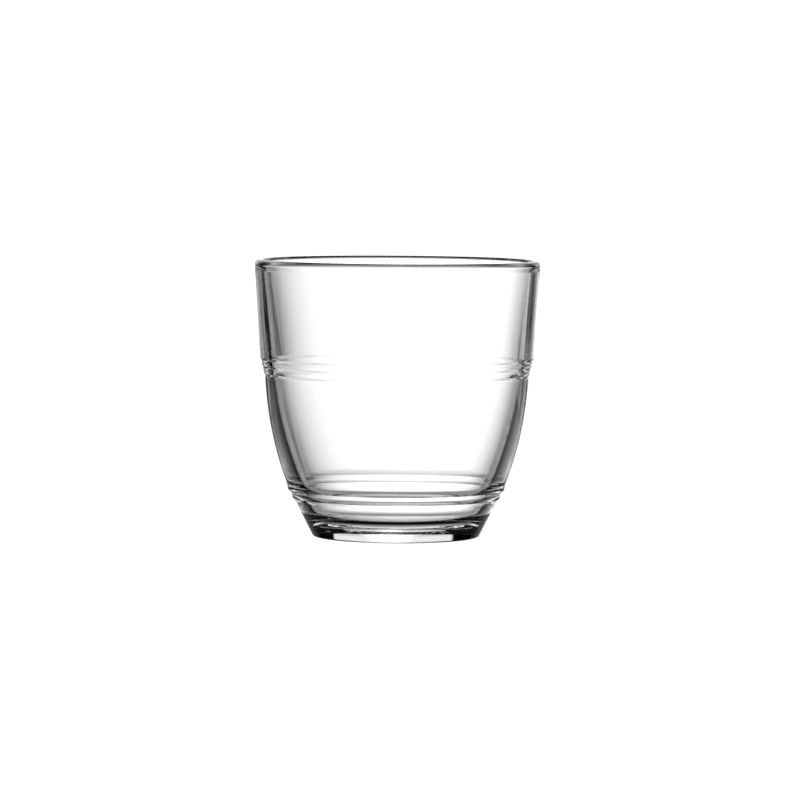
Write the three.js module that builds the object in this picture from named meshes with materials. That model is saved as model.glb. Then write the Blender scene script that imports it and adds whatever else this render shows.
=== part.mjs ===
// A stackable tumbler: one piece of pressed, toughened clear glass, turned about the vertical axis.
// Millimetres, +Z up. The origin is the middle of the base, on the plane that the glass stands on.
//
// The outside steps inwards all the way down, because the glass leaves a one-piece mould upwards:
// rim, plain band, shoulder rings, bowl, foot rings, foot. The shoulder is the stop when the tumblers
// are stacked: its middle ledge comes to rest inside the lip of the glass below.
import * as THREE from "three";

const degrees = THREE.MathUtils.degToRad;

// Overall
const HEIGHT = 82.35;
const RIM_RADIUS = 42.5;

// Underside: a shallow dome inside a flat ring that the glass stands on
const DOME_RADIUS = 17;
const DOME_RISE = 1.05;
const DOME_EDGE_ROUND = 0.6;

// Foot: a cone with a rounded bottom edge
const FOOT_RADIUS = 24.8;
const FOOT_HEIGHT = 10.66;
const FOOT_LEAN = degrees(27);
const FOOT_EDGE_ROUND = 1.3;

// Foot rings: two ledges that climb outwards, with a coved face between them
const FOOT_LEDGE_WIDTHS = [0.79, 0.87];
const FOOT_LEDGE_RISE = 0.92;
const FOOT_RING_PITCH = 2.46;
const FOOT_RING_LEAN = degrees(17);
const FOOT_RING_COVE = degrees(11);
const FOOT_RING_ROUND = 0.16;

// Crease: a coved face above the foot rings runs smoothly into the bowl
const CREASE_LEVEL = 16.28;
const CREASE_LEAN = degrees(13.5);
const CREASE_COVE = degrees(7.5);
const CREASE_REACH = 4.1;

// Bowl: one long arc from the crease up to the shoulder
const BOWL_TOP_RADIUS = 39.3;
const BOWL_BULGE = degrees(9);

// Shoulder: three small steps from the bowl out to the plain band, the middle one the stacking stop
const SHOULDER_HEIGHT = 47.95;
const SHOULDER_LEDGE_WIDTHS = [0.38, 0.32, 0.36];
const SHOULDER_LEDGE_RISE = 0.6;
const SHOULDER_RING_PITCH = 2.35;
const SHOULDER_RING_LEAN = degrees(7);
const SHOULDER_RING_COVE = degrees(0.5);
const SHOULDER_RING_ROUND = 0.12;

// Rim: a fire-polished lip, rounder outside than inside, above a slight neck and the low ridge where
// the mould's top ring met the mould
const LIP_OUTER_ROUND = 1.5;
const LIP_INNER_ROUND = 0.75;
const NECK_DROP = 1.75;
const NECK_DEPTH = 0.1;
const RIDGE_DROP = 3;
const RIDGE_RELIEF = 0.06;
const RIM_EDGE_ROUND = 0.3;

// Inside: the wall thickens from the lip to the shoulder and runs on down to a dished floor
const BAND_WALL_BULGE = degrees(0.8);
const SHOULDER_WALL = 3.8;
const FOOT_WALL = 4.05;
const INSIDE_BULGE = degrees(9.4);
const FLOOR_THICKNESS = 5.1;
const FLOOR_SAG = 0.42;
const FLOOR_DISH_RADIUS = 10;
const FLOOR_FILLET = 7.6;

// How finely the turned surface is faceted, and how much of a neighbouring run a rounding may take
const FACET_TOLERANCE = 0.04;
const SEGMENTS = 60;
const ROUNDING_SHARE = 0.48;

// A corner of the outline: radius from the axis, height, and the rounding it gets.
const corner = (r, z, round = 0) => ({ r, z, round });

// A point of the outline as a vector, and a run of such vectors as corners with no rounding.
const pointOf = ({ r, z }) => new THREE.Vector2(r, z);
const asCorners = (points) => points.map((point) => corner(point.x, point.y));

// Points along an arc, close enough together to stay within the facet tolerance.
function arcPoints(centre, radius, from, to) {
  const widestStep = 2 * Math.acos(1 - Math.min(1, FACET_TOLERANCE / radius));
  const steps = Math.ceil(Math.abs(to - from) / widestStep);
  const arc = new THREE.EllipseCurve(centre.x, centre.y, radius, radius, from, to, to < from);
  return arc.getPoints(steps);
}

// An arc from start to end that leaves its chord by the bulge angle, to the right of the way it runs.
function bulgedArc(start, end, bulge) {
  const chord = end.clone().sub(start);
  const radius = chord.length() / (2 * Math.sin(bulge));
  const left = new THREE.Vector2(-chord.y, chord.x).normalize();
  const middle = start.clone().add(end).multiplyScalar(0.5);
  const centre = middle.addScaledVector(left, radius * Math.cos(bulge));
  const from = start.clone().sub(centre).angle();
  let to = end.clone().sub(centre).angle();
  if (to < from) to += 2 * Math.PI;
  return arcPoints(centre, radius, from, to);
}

// The rounded corner between two straight runs, as points on an arc that touches both.
function roundedCorner(before, at, after) {
  const tip = pointOf(at);
  const back = pointOf(before).sub(tip);
  const ahead = pointOf(after).sub(tip);
  const halfAngle = back.angleTo(ahead) / 2;
  const longest = ROUNDING_SHARE * Math.min(back.length(), ahead.length());
  const touch = Math.min(at.round / Math.tan(halfAngle), longest);
  const radius = touch * Math.tan(halfAngle);
  const bisector = back.clone().normalize().add(ahead.clone().normalize()).normalize();
  const centre = tip.clone().addScaledVector(bisector, radius / Math.sin(halfAngle));
  const from = tip.clone().addScaledVector(back.normalize(), touch).sub(centre).angle();
  let to = tip.clone().addScaledVector(ahead.normalize(), touch).sub(centre).angle();
  if (to - from > Math.PI) to -= 2 * Math.PI;
  if (from - to > Math.PI) to += 2 * Math.PI;
  return arcPoints(centre, radius, from, to);
}

// Steps that climb outwards: each ledge runs out and up to an edge, and a coved face runs on to the next.
function climbingRings(start, { widths, rise, pitch, lean, cove, round }) {
  const corners = [];
  let { r, z } = start;
  for (const width of widths) {
    if (corners.length > 0) {
      const face = bulgedArc(new THREE.Vector2(r, z), pointOf(corners.at(-1)), cove);
      corners.push(...asCorners(face.slice(1, -1).reverse()));
    }
    corners.push(corner(r, z, round), corner(r + width, z + rise, round));
    r += width + (pitch - rise) * Math.tan(lean);
    z += pitch;
  }
  return corners;
}

// The foot's inner wall, parallel to the outside of the foot.
function footInnerRadius(z) {
  return FOOT_RADIUS - FOOT_WALL / Math.cos(FOOT_LEAN) + z * Math.tan(FOOT_LEAN);
}

function underside() {
  const sphere = (DOME_RADIUS ** 2 + DOME_RISE ** 2) / (2 * DOME_RISE);
  const centre = new THREE.Vector2(0, DOME_RISE - sphere);
  const edgeAngle = Math.acos(DOME_RADIUS / sphere);
  const dome = asCorners(arcPoints(centre, sphere, Math.PI / 2, edgeAngle));
  dome.at(-1).round = DOME_EDGE_ROUND;
  return dome;
}

const footEdge = corner(FOOT_RADIUS, 0, FOOT_EDGE_ROUND);

const footRings = climbingRings(corner(FOOT_RADIUS + FOOT_HEIGHT * Math.tan(FOOT_LEAN), FOOT_HEIGHT), {
  widths: FOOT_LEDGE_WIDTHS,
  rise: FOOT_LEDGE_RISE,
  pitch: FOOT_RING_PITCH,
  lean: FOOT_RING_LEAN,
  cove: FOOT_RING_COVE,
  round: FOOT_RING_ROUND,
});

const shoulderRings = climbingRings(corner(BOWL_TOP_RADIUS, SHOULDER_HEIGHT), {
  widths: SHOULDER_LEDGE_WIDTHS,
  rise: SHOULDER_LEDGE_RISE,
  pitch: SHOULDER_RING_PITCH,
  lean: SHOULDER_RING_LEAN,
  cove: SHOULDER_RING_COVE,
  round: SHOULDER_RING_ROUND,
});

function bowlOutside() {
  const ringTop = footRings.at(-1);
  const creaseRadius = ringTop.r + (CREASE_LEVEL - ringTop.z) * Math.tan(CREASE_LEAN);
  const crease = new THREE.Vector2(creaseRadius, CREASE_LEVEL);
  const face = bulgedArc(crease, pointOf(ringTop), CREASE_COVE).slice(0, -1).reverse();
  const bowl = bulgedArc(crease, pointOf(shoulderRings[0]), BOWL_BULGE).slice(0, -1);
  return asCorners([...face, ...bowl.filter((point) => point.y > CREASE_LEVEL + CREASE_REACH)]);
}

// Where the inside wall passes the shoulder, and how it leans where it runs into the lip.
const shoulderInside = new THREE.Vector2(
  shoulderRings.at(-1).r - SHOULDER_WALL,
  SHOULDER_HEIGHT + SHOULDER_RING_PITCH,
);
const lipInside = new THREE.Vector2(
  RIM_RADIUS - LIP_OUTER_ROUND - LIP_INNER_ROUND,
  HEIGHT - LIP_INNER_ROUND,
);
const lipLean = Math.PI / 2 - lipInside.clone().sub(shoulderInside).angle() + BAND_WALL_BULGE;

function rim() {
  const ridgeLevel = HEIGHT - RIDGE_DROP;
  const lipOuter = new THREE.Vector2(RIM_RADIUS - LIP_OUTER_ROUND, HEIGHT - LIP_OUTER_ROUND);
  const lipInner = new THREE.Vector2(RIM_RADIUS - LIP_OUTER_ROUND, HEIGHT - LIP_INNER_ROUND);
  const outerArc = arcPoints(lipOuter, LIP_OUTER_ROUND, 0, Math.PI / 2);
  const innerArc = arcPoints(lipInner, LIP_INNER_ROUND, Math.PI / 2, Math.PI - lipLean);
  return [
    corner(RIM_RADIUS - RIDGE_RELIEF, ridgeLevel - 2 * RIDGE_RELIEF, RIM_EDGE_ROUND),
    corner(RIM_RADIUS, ridgeLevel, RIM_EDGE_ROUND),
    corner(RIM_RADIUS - NECK_DEPTH, HEIGHT - NECK_DROP, RIM_EDGE_ROUND),
    ...asCorners(outerArc),
    ...asCorners(innerArc.slice(1)),
  ];
}

function inside(lipEnd) {
  const bandWall = bulgedArc(pointOf(lipEnd), shoulderInside, BAND_WALL_BULGE);
  const bowlInside = new THREE.Vector2(footInnerRadius(CREASE_LEVEL), CREASE_LEVEL);
  const bowlWall = bulgedArc(bowlInside, shoulderInside, INSIDE_BULGE).reverse();
  return [...asCorners(bandWall.slice(1, -1)), ...asCorners(bowlWall), ...floor()];
}

function floor() {
  const edgeLevel = FLOOR_THICKNESS + FLOOR_SAG;
  const edgeRadius = footInnerRadius(edgeLevel);
  const sphere = (edgeRadius ** 2 + FLOOR_SAG ** 2) / (2 * FLOOR_SAG);
  const centre = new THREE.Vector2(0, FLOOR_THICKNESS + sphere);
  const dishAngle = Math.asin(FLOOR_DISH_RADIUS / sphere) - Math.PI / 2;
  const dish = arcPoints(centre, sphere, dishAngle, -Math.PI / 2);
  return [corner(edgeRadius, edgeLevel, FLOOR_FILLET), ...asCorners(dish)];
}

// The whole outline, from the middle of the underside round the outside and down the inside.
const rimCorners = rim();
const outline = [
  ...underside(),
  footEdge,
  ...footRings,
  ...bowlOutside(),
  ...shoulderRings,
  ...rimCorners,
  ...inside(rimCorners.at(-1)),
];

const profile = outline.flatMap((at, index) => {
  if (at.round === 0) return [pointOf(at)];
  return roundedCorner(outline[index - 1], at, outline[index + 1]);
});

const clearGlass = new THREE.MeshStandardMaterial({
  color: 0xf4f8f7,
  roughness: 0.02,
  metalness: 0,
  transparent: true,
  opacity: 0.35,
});

const turned = new THREE.LatheGeometry(profile, SEGMENTS).rotateX(Math.PI / 2);
const tumbler = new THREE.Mesh(turned, clearGlass);
tumbler.name = "tumbler";

const part = new THREE.Group();
part.add(tumbler);

export default part;
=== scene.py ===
import math

import bpy
from mathutils import Matrix, Vector


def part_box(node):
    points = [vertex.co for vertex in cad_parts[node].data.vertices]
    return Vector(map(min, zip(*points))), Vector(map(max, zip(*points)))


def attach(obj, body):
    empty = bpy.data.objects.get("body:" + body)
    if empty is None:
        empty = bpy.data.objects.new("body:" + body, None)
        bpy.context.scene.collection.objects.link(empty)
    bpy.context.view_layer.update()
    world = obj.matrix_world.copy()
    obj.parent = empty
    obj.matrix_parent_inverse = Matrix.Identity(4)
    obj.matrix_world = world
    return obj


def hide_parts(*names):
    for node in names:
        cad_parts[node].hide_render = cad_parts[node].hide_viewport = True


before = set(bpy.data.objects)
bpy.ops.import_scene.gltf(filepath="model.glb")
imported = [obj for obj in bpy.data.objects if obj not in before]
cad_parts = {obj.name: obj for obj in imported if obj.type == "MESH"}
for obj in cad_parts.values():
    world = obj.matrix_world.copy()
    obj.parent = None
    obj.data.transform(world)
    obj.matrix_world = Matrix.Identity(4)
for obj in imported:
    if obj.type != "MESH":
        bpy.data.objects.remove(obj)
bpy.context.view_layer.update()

MM = 0.001
DEG = math.pi / 180

# Camera: where it stood, and what its frame takes in
PICTURE_PIXELS = 800
PIXEL = 0.2977 * MM
CAMERA_DISTANCE = 1300 * MM
CAMERA_HEIGHT = 123 * MM
AIM = Vector((0.95 * MM, 0, 40.6 * MM))
CAMERA_ROLL = 0.4 * DEG
SENSOR_WIDTH = 36

# Set: a glowing table and wall that only the camera sees, in a dark room
TABLE_RADIUS = 4000 * MM
WALL_HEIGHT = 3000 * MM
SWEEP_SIDES = 128
SWEEP_GLOW = 1.15
ROOM_GREY = 0.008
LIGHT_BOUNCES = 32

# Panel that only the glass sees: it stands opposite the camera and goes round with it
PANEL_BEHIND = 1000 * MM
PANEL_SIDE = 52 * MM
PANEL_WIDTH = 2400 * MM
PANEL_TOP = 1000 * MM
PANEL_BOTTOM = -3000 * MM

# Lights on the panel, measured from its middle: where each is bright to, and where it is dark from
CARD_LEFT = (330 * MM, 358 * MM)
CARD_RIGHT = (312 * MM, 350 * MM)
CARD_TAPER = 0.9
SPOT_GLOW = 1.6
SPOT_SIDE = 450 * MM
SPOT_UP = 1800 * MM
SPOT_DOWN = 460 * MM
SPOT_EVEN = 0.06
HALO_GLOW = 0.36
HALO_SIDE = 945 * MM
HALO_DROP = 200 * MM
HALO_UP = 300 * MM
HALO_DOWN = 1900 * MM
STRIP_GLOW = 0.94
STRIP_SIDE = (570 * MM, 630 * MM)
STRIP_DOWN = (-125 * MM, -38 * MM)
STRIP_UP = (500 * MM, 960 * MM)

# Small cards on the panel: left and right side, bottom and top
LEFT_CARD = ((-650 * MM, -520 * MM), (-60 * MM, 10 * MM))
LEFT_GLOW = 0.3
RIGHT_CARD = ((790 * MM, 1080 * MM), (-130 * MM, 0 * MM))
RIGHT_GLOW = 0.5
SMALL_CARD_SOFTNESS = 25 * MM

# Glass
GLASS_TINT = (0.985, 0.992, 0.99, 1)
GLASS_IOR = 1.52
WAVE_SCALE = 45
WAVE_HEIGHT = 0.04 * MM
WAVE_STRENGTH = 0.25
BLOOM_SCALE = 160
BLOOM_ROUGHNESS = 0.02

# Underside and foot
DOME_RADIUS = 17 * MM
DOME_RISE = 1.05 * MM
DOME_EDGE_ROUND = 0.6 * MM
FOOT_RADIUS = 24.8 * MM
FOOT_HEIGHT = 10.66 * MM
FOOT_LEAN = 27 * DEG
FOOT_EDGE_ROUND = 1.3 * MM

# Fine radial grooves under the bearing ring
GROOVE_INSIDE = 18 * MM
GROOVE_OUTSIDE = 23.4 * MM
GROOVE_DEPTH = 0.22 * MM

# Foot rings
FOOT_LEDGE_WIDTHS = (0.79 * MM, 0.87 * MM)
FOOT_RING_PITCH = 2.46 * MM
FOOT_LEDGE_RISE = 0.92 * MM
FOOT_RING_LEAN = 17 * DEG
FOOT_RING_COVE = 11 * DEG
FOOT_RING_ROUND = 0.16 * MM

# Bowl and shoulder rings
CREASE_LEVEL = 16.28 * MM
CREASE_LEAN = 13.5 * DEG
CREASE_COVE = 7.5 * DEG
CREASE_REACH = 4.1 * MM
BOWL_TOP_RADIUS = 39.3 * MM
BOWL_BULGE = 9 * DEG
SHOULDER_HEIGHT = 47.95 * MM
SHOULDER_LEDGE_WIDTHS = (0.38 * MM, 0.32 * MM, 0.36 * MM)
SHOULDER_LEDGE_RISE = 0.6 * MM
SHOULDER_RING_PITCH = 2.35 * MM
SHOULDER_RING_LEAN = 7 * DEG
SHOULDER_RING_COVE = 0.5 * DEG
SHOULDER_RING_ROUND = 0.12 * MM

# Rim
LIP_OUTER_ROUND = 1.5 * MM
LIP_INNER_ROUND = 0.75 * MM
NECK_DROP = 1.75 * MM
NECK_DEPTH = 0.1 * MM
RIDGE_DROP = 3.0 * MM
RIDGE_RELIEF = 0.06 * MM
RIM_EDGE_ROUND = 0.3 * MM

# Inside
BAND_WALL_BULGE = 0.8 * DEG
SHOULDER_WALL = 3.8 * MM
FOOT_WALL = 4.05 * MM
INSIDE_BULGE = 9.4 * DEG
FLOOR_THICKNESS = 5.1 * MM
FLOOR_SAG = 0.42 * MM
FLOOR_DISH_RADIUS = 10 * MM
FLOOR_FILLET = 7.6 * MM

# Fineness of the turned surface
ROUNDING_SHARE = 0.48
ARC_TOLERANCE = 0.0012 * MM
LONGEST_RUN = 1.5 * MM
SPIN_STEPS = 256
MERGE_DISTANCE = 0.0005 * MM
PLACE_TOLERANCE = 0.01 * MM

low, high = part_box("tumbler")
HEIGHT = high.z - low.z
RIM_RADIUS = (high.x - low.x) / 2


class Socket:
    """A shader value that Python arithmetic turns into Math nodes."""

    def __init__(self, tree, socket):
        self.tree = tree
        self.socket = socket

    def _math(self, operation, first, second):
        return add_node(self.tree, "ShaderNodeMath", {"operation": operation}, [first, second])

    def __add__(self, other):
        return self._math("ADD", self, other)

    __radd__ = __add__

    def __sub__(self, other):
        return self._math("SUBTRACT", self, other)

    def __rsub__(self, other):
        return self._math("SUBTRACT", other, self)

    def __mul__(self, other):
        return self._math("MULTIPLY", self, other)

    __rmul__ = __mul__


def add_node(tree, kind, settings, inputs, output=0):
    """Adds one node, sets it up, then sets or links its inputs, and gives one output as a Socket."""
    node = tree.nodes.new(kind)
    for name, value in settings.items():
        setattr(node, name, value)
    named = inputs.items() if isinstance(inputs, dict) else enumerate(inputs)
    for name, value in named:
        if isinstance(value, Socket):
            tree.links.new(value.socket, node.inputs[name])
        else:
            node.inputs[name].default_value = value
    return Socket(tree, node.outputs[output])


def new_material(name):
    material = bpy.data.materials.new(name)
    material.use_nodes = True
    material.node_tree.nodes.clear()
    return material, material.node_tree


def clear_glass():
    """Clear pressed glass: a little waviness from the mould and the faintest bloom on the surface."""
    material, tree = new_material("clear_glass")
    place = add_node(tree, "ShaderNodeTexCoord", {}, {}, "Object")
    wave = add_node(tree, "ShaderNodeTexNoise", {}, {"Vector": place, "Scale": WAVE_SCALE, "Detail": 2})
    bloom = add_node(tree, "ShaderNodeTexNoise", {}, {"Vector": place, "Scale": BLOOM_SCALE, "Detail": 4})
    waviness = {"Strength": WAVE_STRENGTH, "Distance": WAVE_HEIGHT, "Height": wave}
    finish = {
        "Base Color": GLASS_TINT,
        "Roughness": bloom * BLOOM_ROUGHNESS,
        "IOR": GLASS_IOR,
        "Transmission Weight": 1,
        "Normal": add_node(tree, "ShaderNodeBump", {}, waviness),
    }
    add_node_output(tree, add_node(tree, "ShaderNodeBsdfPrincipled", {}, finish))
    return material


def add_node_output(tree, shader):
    output = tree.nodes.new("ShaderNodeOutputMaterial")
    tree.links.new(shader.socket, output.inputs["Surface"])


def fading(tree, distance, bright_to, dark_from):
    """One as far as bright_to, falling smoothly to nothing at dark_from."""
    settings = {"interpolation_type": "SMOOTHSTEP"}
    ends = {"From Min": bright_to, "From Max": dark_from, "To Min": 1, "To Max": 0}
    return add_node(tree, "ShaderNodeMapRange", settings, {"Value": distance, **ends})


def lit_sweep():
    """The even white of the table and the wall round it."""
    material, tree = new_material("lit_sweep")
    add_node_output(tree, add_node(tree, "ShaderNodeEmission", {}, {"Strength": SWEEP_GLOW}))
    return material


def oval(tree, side, along, even):
    """One in the even middle of an oval, falling smoothly to nothing at its edge, at radius one."""
    radius = add_node(tree, "ShaderNodeMath", {"operation": "SQRT"}, [side * side + along * along])
    return fading(tree, radius, even, 1.0)


def larger(tree, first, second):
    return add_node(tree, "ShaderNodeMath", {"operation": "MAXIMUM"}, [first, second])


def bright_card(tree, across, side, up):
    """A soft bright spot on a card whose straight sides lean in upwards."""
    narrowing = 1 + up * CARD_TAPER
    card = fading(tree, 0 - across * narrowing, *CARD_LEFT)
    card = card * fading(tree, across * narrowing, *CARD_RIGHT)
    along = larger(tree, up * (1 / SPOT_UP), up * (-1 / SPOT_DOWN))
    return oval(tree, side * narrowing * (1 / SPOT_SIDE), along, SPOT_EVEN) * card * SPOT_GLOW


def low_halo(tree, side, up):
    """A dim glow below the middle, which reaches far down."""
    height = up + HALO_DROP
    along = larger(tree, height * (1 / HALO_UP), height * (-1 / HALO_DOWN))
    return oval(tree, side * (1 / HALO_SIDE), along, 0) * HALO_GLOW


def high_strip(tree, side, up):
    """A wide even strip above the middle."""
    strip = fading(tree, side, *STRIP_SIDE) * fading(tree, 0 - up, *STRIP_DOWN)
    return strip * fading(tree, up, *STRIP_UP) * STRIP_GLOW


def small_card(tree, across, up, sides, levels):
    """One on a card between two sides and two levels, soft at its edges."""
    left, right = sides
    bottom, top = levels
    edges = ((0 - across, -left), (across, right), (0 - up, -bottom), (up, top))
    card = 1
    for distance, end in edges:
        card = card * fading(tree, distance, end, end + SMALL_CARD_SOFTNESS)
    return card


def lit_panel():
    """A dark panel with a bright card, a dim halo, a wide strip and two small cards."""
    material, tree = new_material("lit_panel")
    place = add_node(tree, "ShaderNodeTexCoord", {}, {}, "Object")
    across = add_node(tree, "ShaderNodeSeparateXYZ", {}, [place], "X")
    up = add_node(tree, "ShaderNodeSeparateXYZ", {}, [place], "Y")
    side = add_node(tree, "ShaderNodeMath", {"operation": "ABSOLUTE"}, [across])
    glow = larger(tree, bright_card(tree, across, side, up), low_halo(tree, side, up))
    glow = larger(tree, glow, high_strip(tree, side, up))
    glow = larger(tree, glow, small_card(tree, across, up, *LEFT_CARD) * LEFT_GLOW)
    glow = larger(tree, glow, small_card(tree, across, up, *RIGHT_CARD) * RIGHT_GLOW)
    add_node_output(tree, add_node(tree, "ShaderNodeEmission", {}, {"Color": glow, "Strength": 1}))
    return material


def make_camera():
    data = bpy.data.cameras.new("camera")
    camera = bpy.data.objects.new("camera", data)
    bpy.context.scene.collection.objects.link(camera)
    camera.location = Vector((AIM.x, -CAMERA_DISTANCE, CAMERA_HEIGHT))
    view = AIM - camera.location
    data.sensor_width = SENSOR_WIDTH
    data.lens = SENSOR_WIDTH * view.length / (PICTURE_PIXELS * PIXEL)
    data.clip_end = 100
    camera.rotation_mode = "QUATERNION"
    upright = view.to_track_quat("-Z", "Y")
    camera.rotation_quaternion = upright @ Matrix.Rotation(CAMERA_ROLL, 3, "Z").to_quaternion()
    bpy.context.scene.camera = camera
    return camera, view.length


def make_set(camera, view_length):
    bpy.ops.object.select_all(action="DESELECT")
    bpy.ops.mesh.primitive_circle_add(vertices=SWEEP_SIDES, radius=TABLE_RADIUS, fill_type="NGON")
    table = bpy.context.object
    table.name = "table"
    bpy.ops.object.select_all(action="DESELECT")
    bpy.ops.mesh.primitive_cylinder_add(
        vertices=SWEEP_SIDES,
        radius=TABLE_RADIUS,
        depth=WALL_HEIGHT,
        end_fill_type="NOTHING",
        location=(0, 0, WALL_HEIGHT / 2),
    )
    wall = bpy.context.object
    wall.name = "wall"
    sweep = lit_sweep()
    for piece in (table, wall):
        piece.data.materials.append(sweep)
        piece.visible_transmission = False
        piece.visible_glossy = False
    bpy.ops.object.select_all(action="DESELECT")
    bpy.ops.mesh.primitive_plane_add(size=1)
    panel = bpy.context.object
    panel.name = "panel"
    panel.scale = (PANEL_WIDTH, PANEL_TOP - PANEL_BOTTOM, 1)
    panel.location.y = (PANEL_TOP + PANEL_BOTTOM) / 2
    bpy.ops.object.transform_apply(location=True, rotation=False, scale=True)
    panel.data.materials.append(lit_panel())
    panel.visible_camera = False
    panel.parent = camera
    panel.location = (PANEL_SIDE, 0, -view_length - PANEL_BEHIND)
    world = bpy.data.worlds.new("room")
    world.use_nodes = True
    world.node_tree.nodes["Background"].inputs["Color"].default_value = (ROOM_GREY,) * 3 + (1,)
    bpy.context.scene.world = world


def arc_points(centre, radius, start, end):
    """Points on an arc, as close as the arc tolerance and the longest run ask."""
    step = 2 * math.acos(1 - min(1, ARC_TOLERANCE / radius))
    step = min(step, LONGEST_RUN / radius)
    count = math.ceil(abs(end - start) / step)
    angles = [start + (end - start) * i / count for i in range(count + 1)]
    return [centre + radius * Vector((math.cos(a), math.sin(a))) for a in angles]


def bearing(vector):
    return math.atan2(vector.y, vector.x)


def short_way(start, end):
    """The end angle, moved by whole turns so that it lies within half a turn of the start."""
    while end - start > math.pi:
        end -= 2 * math.pi
    while start - end > math.pi:
        end += 2 * math.pi
    return end


def bulged_arc(start, end, bulge):
    """An arc from start to end that leaves its chord by the bulge angle, to the right of its way."""
    chord = end - start
    radius = chord.length / (2 * math.sin(bulge))
    left = Vector((-chord.y, chord.x)).normalized()
    centre = (start + end) / 2 + left * radius * math.cos(bulge)
    begin = bearing(start - centre)
    return arc_points(centre, radius, begin, short_way(begin, bearing(end - centre)))


def rounded_corner(before, tip, after, rounding):
    back = before - tip
    ahead = after - tip
    half = back.angle(ahead) / 2
    touch = min(rounding / math.tan(half), ROUNDING_SHARE * min(back.length, ahead.length))
    radius = touch * math.tan(half)
    bisector = (back.normalized() + ahead.normalized()).normalized()
    centre = tip + bisector * (radius / math.sin(half))
    begin = bearing(tip + back.normalized() * touch - centre)
    finish = bearing(tip + ahead.normalized() * touch - centre)
    return arc_points(centre, radius, begin, short_way(begin, finish))


def corner(r, z, rounding=0.0):
    return Vector((r, z)), rounding


def as_corners(points):
    return [(point, 0.0) for point in points]


def climbing_rings(r, z, ledge_widths, ledge_rise, pitch, lean, cove, rounding):
    """Steps that climb outwards: each ledge runs out and up to an edge, and a coved face runs on."""
    corners = []
    for width in ledge_widths:
        if corners:
            face = bulged_arc(Vector((r, z)), corners[-1][0], cove)
            corners += as_corners(reversed(face[1:-1]))
        corners.append(corner(r, z, rounding))
        corners.append(corner(r + width, z + ledge_rise, rounding))
        r += width + (pitch - ledge_rise) * math.tan(lean)
        z += pitch
    return corners


def foot_inner_radius(z):
    return FOOT_RADIUS - FOOT_WALL / math.cos(FOOT_LEAN) + z * math.tan(FOOT_LEAN)


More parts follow.
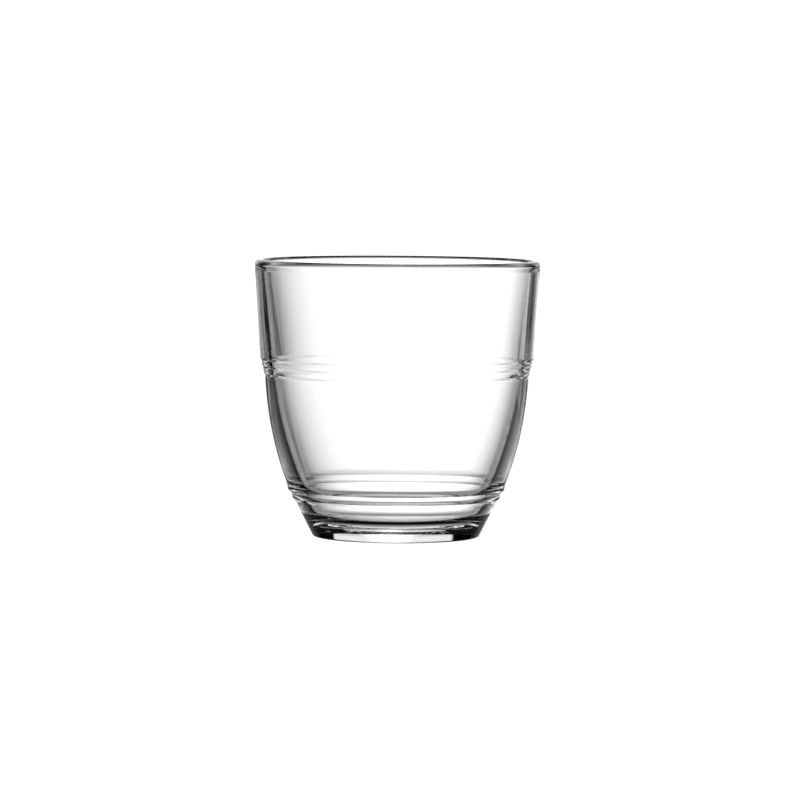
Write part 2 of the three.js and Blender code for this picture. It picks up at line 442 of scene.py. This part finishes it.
def tumbler_outline():
    """The glass in section, from the middle of the underside round the outside and down the inside."""
    sphere = (DOME_RADIUS**2 + DOME_RISE**2) / (2 * DOME_RISE)
    dome_centre = Vector((0, DOME_RISE - sphere))
    dome_edge = math.acos(DOME_RADIUS / sphere)
    dome = arc_points(dome_centre, sphere, math.pi / 2, dome_edge)
    underside = as_corners(dome[:-1]) + [corner(DOME_RADIUS, 0, DOME_EDGE_ROUND)]
    bearing_ring = [corner(GROOVE_INSIDE, 0), corner(GROOVE_OUTSIDE, 0)]
    foot_edge = [*bearing_ring, corner(FOOT_RADIUS, 0, FOOT_EDGE_ROUND)]
    foot_rings = climbing_rings(
        FOOT_RADIUS + FOOT_HEIGHT * math.tan(FOOT_LEAN),
        FOOT_HEIGHT,
        FOOT_LEDGE_WIDTHS,
        FOOT_LEDGE_RISE,
        FOOT_RING_PITCH,
        FOOT_RING_LEAN,
        FOOT_RING_COVE,
        FOOT_RING_ROUND,
    )
    shoulder_rings = climbing_rings(
        BOWL_TOP_RADIUS,
        SHOULDER_HEIGHT,
        SHOULDER_LEDGE_WIDTHS,
        SHOULDER_LEDGE_RISE,
        SHOULDER_RING_PITCH,
        SHOULDER_RING_LEAN,
        SHOULDER_RING_COVE,
        SHOULDER_RING_ROUND,
    )
    ring_edge = foot_rings[-1][0]
    crease_radius = ring_edge.x + (CREASE_LEVEL - ring_edge.y) * math.tan(CREASE_LEAN)
    bowl_bottom = Vector((crease_radius, CREASE_LEVEL))
    band_bottom = shoulder_rings[-1][0]
    bowl_arc = bulged_arc(bowl_bottom, shoulder_rings[0][0], BOWL_BULGE)[:-1]
    above_crease = [point for point in bowl_arc if point.y > CREASE_LEVEL + CREASE_REACH]
    crease_face = bulged_arc(bowl_bottom, ring_edge, CREASE_COVE)[:-1]
    bowl = [*as_corners(reversed(crease_face)), *as_corners(above_crease)]

    ridge_level = HEIGHT - RIDGE_DROP
    band_top = Vector((RIM_RADIUS - RIDGE_RELIEF, ridge_level - 2 * RIDGE_RELIEF))
    lip_top = Vector((RIM_RADIUS - LIP_OUTER_ROUND, HEIGHT))
    lip_outer = lip_top - Vector((0, LIP_OUTER_ROUND))
    lip_inner = lip_top - Vector((0, LIP_INNER_ROUND))
    rim = [
        (band_top, RIM_EDGE_ROUND),
        corner(RIM_RADIUS, ridge_level, RIM_EDGE_ROUND),
        corner(RIM_RADIUS - NECK_DEPTH, HEIGHT - NECK_DROP, RIM_EDGE_ROUND),
        *as_corners(arc_points(lip_outer, LIP_OUTER_ROUND, 0, math.pi / 2)),
    ]
    shoulder_inside = Vector((band_bottom.x - SHOULDER_WALL, SHOULDER_HEIGHT + SHOULDER_RING_PITCH))
    band_lean = math.pi / 2 - bearing(lip_inner - Vector((LIP_INNER_ROUND, 0)) - shoulder_inside)
    lip_end = math.pi - band_lean - BAND_WALL_BULGE
    rim += as_corners(arc_points(lip_inner, LIP_INNER_ROUND, math.pi / 2, lip_end)[1:])
    band_wall = bulged_arc(rim[-1][0], shoulder_inside, BAND_WALL_BULGE)
    bowl_inside = Vector((foot_inner_radius(CREASE_LEVEL), CREASE_LEVEL))
    bowl_wall = bulged_arc(bowl_inside, shoulder_inside, INSIDE_BULGE)
    floor_level = FLOOR_THICKNESS + FLOOR_SAG
    floor_edge = foot_inner_radius(floor_level)
    floor_sphere = (floor_edge**2 + FLOOR_SAG**2) / (2 * FLOOR_SAG)
    floor_centre = Vector((0, FLOOR_THICKNESS + floor_sphere))
    dish_edge = math.asin(FLOOR_DISH_RADIUS / floor_sphere) - math.pi / 2
    dish = arc_points(floor_centre, floor_sphere, dish_edge, -math.pi / 2)
    inside = [
        *as_corners(band_wall[1:-1]),
        *as_corners(reversed(bowl_wall)),
        corner(floor_edge, floor_level, FLOOR_FILLET),
        *as_corners(dish),
    ]
    return underside + foot_edge + foot_rings + bowl + shoulder_rings + rim + inside


def drawn_points(outline):
    """The outline with its corners rounded, as the points to draw."""
    points = []
    for index, (tip, rounding) in enumerate(outline):
        if rounding == 0:
            points.append(tip)
        else:
            before = outline[index - 1][0]
            after = outline[index + 1][0]
            points += rounded_corner(before, tip, after, rounding)
    return points


def cut_grooves(tumbler):
    """Lifts every other spoke of the flat bearing ring, which leaves fine radial grooves."""
    bpy.ops.object.mode_set(mode="EDIT")
    bpy.ops.mesh.select_all(action="DESELECT")
    bpy.ops.object.mode_set(mode="OBJECT")
    for vertex in tumbler.data.vertices:
        radius = vertex.co.xy.length
        from_ends = min(abs(radius - GROOVE_INSIDE), abs(radius - GROOVE_OUTSIDE))
        on_ring = max(from_ends, abs(vertex.co.z)) < PLACE_TOLERANCE
        spoke = round(bearing(vertex.co) * SPIN_STEPS / (2 * math.pi))
        vertex.select = on_ring and spoke % 2 == 1
    bpy.ops.object.mode_set(mode="EDIT")
    bpy.ops.transform.translate(value=(0, 0, GROOVE_DEPTH))
    bpy.ops.object.mode_set(mode="OBJECT")


def make_tumbler():
    """Draws the section point by point, then spins it about the axis."""
    points = drawn_points(tumbler_outline())
    bpy.ops.object.select_all(action="DESELECT")
    bpy.ops.mesh.primitive_plane_add(size=1 * MM, location=(0, 0, 0))
    tumbler = bpy.context.object
    tumbler.name = "glass_tumbler"
    bpy.ops.object.mode_set(mode="EDIT")
    bpy.ops.mesh.select_mode(type="VERT")
    bpy.ops.mesh.select_all(action="SELECT")
    bpy.ops.mesh.merge(type="CENTER")
    bpy.ops.transform.translate(value=(points[0].x, 0, points[0].y))
    for here, there in zip(points, points[1:]):
        step = there - here
        bpy.ops.mesh.extrude_vertices_move(TRANSFORM_OT_translate={"value": (step.x, 0, step.y)})
    bpy.ops.mesh.select_all(action="SELECT")
    bpy.ops.mesh.spin(steps=SPIN_STEPS, angle=2 * math.pi, center=(0, 0, 0), axis=(0, 0, 1))
    bpy.ops.mesh.select_all(action="SELECT")
    bpy.ops.mesh.remove_doubles(threshold=MERGE_DISTANCE)
    bpy.ops.mesh.normals_make_consistent(inside=False)
    bpy.ops.object.mode_set(mode="OBJECT")
    cut_grooves(tumbler)
    bpy.ops.object.shade_smooth()
    tumbler.data.materials.append(clear_glass())
    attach(tumbler, "root")
    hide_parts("tumbler")


camera, view_length = make_camera()
make_set(camera, view_length)
make_tumbler()

scene = bpy.context.scene
scene.view_settings.view_transform = "Standard"
scene.cycles.max_bounces = LIGHT_BOUNCES
scene.cycles.transmission_bounces = LIGHT_BOUNCES
scene.cycles.glossy_bounces = LIGHT_BOUNCES
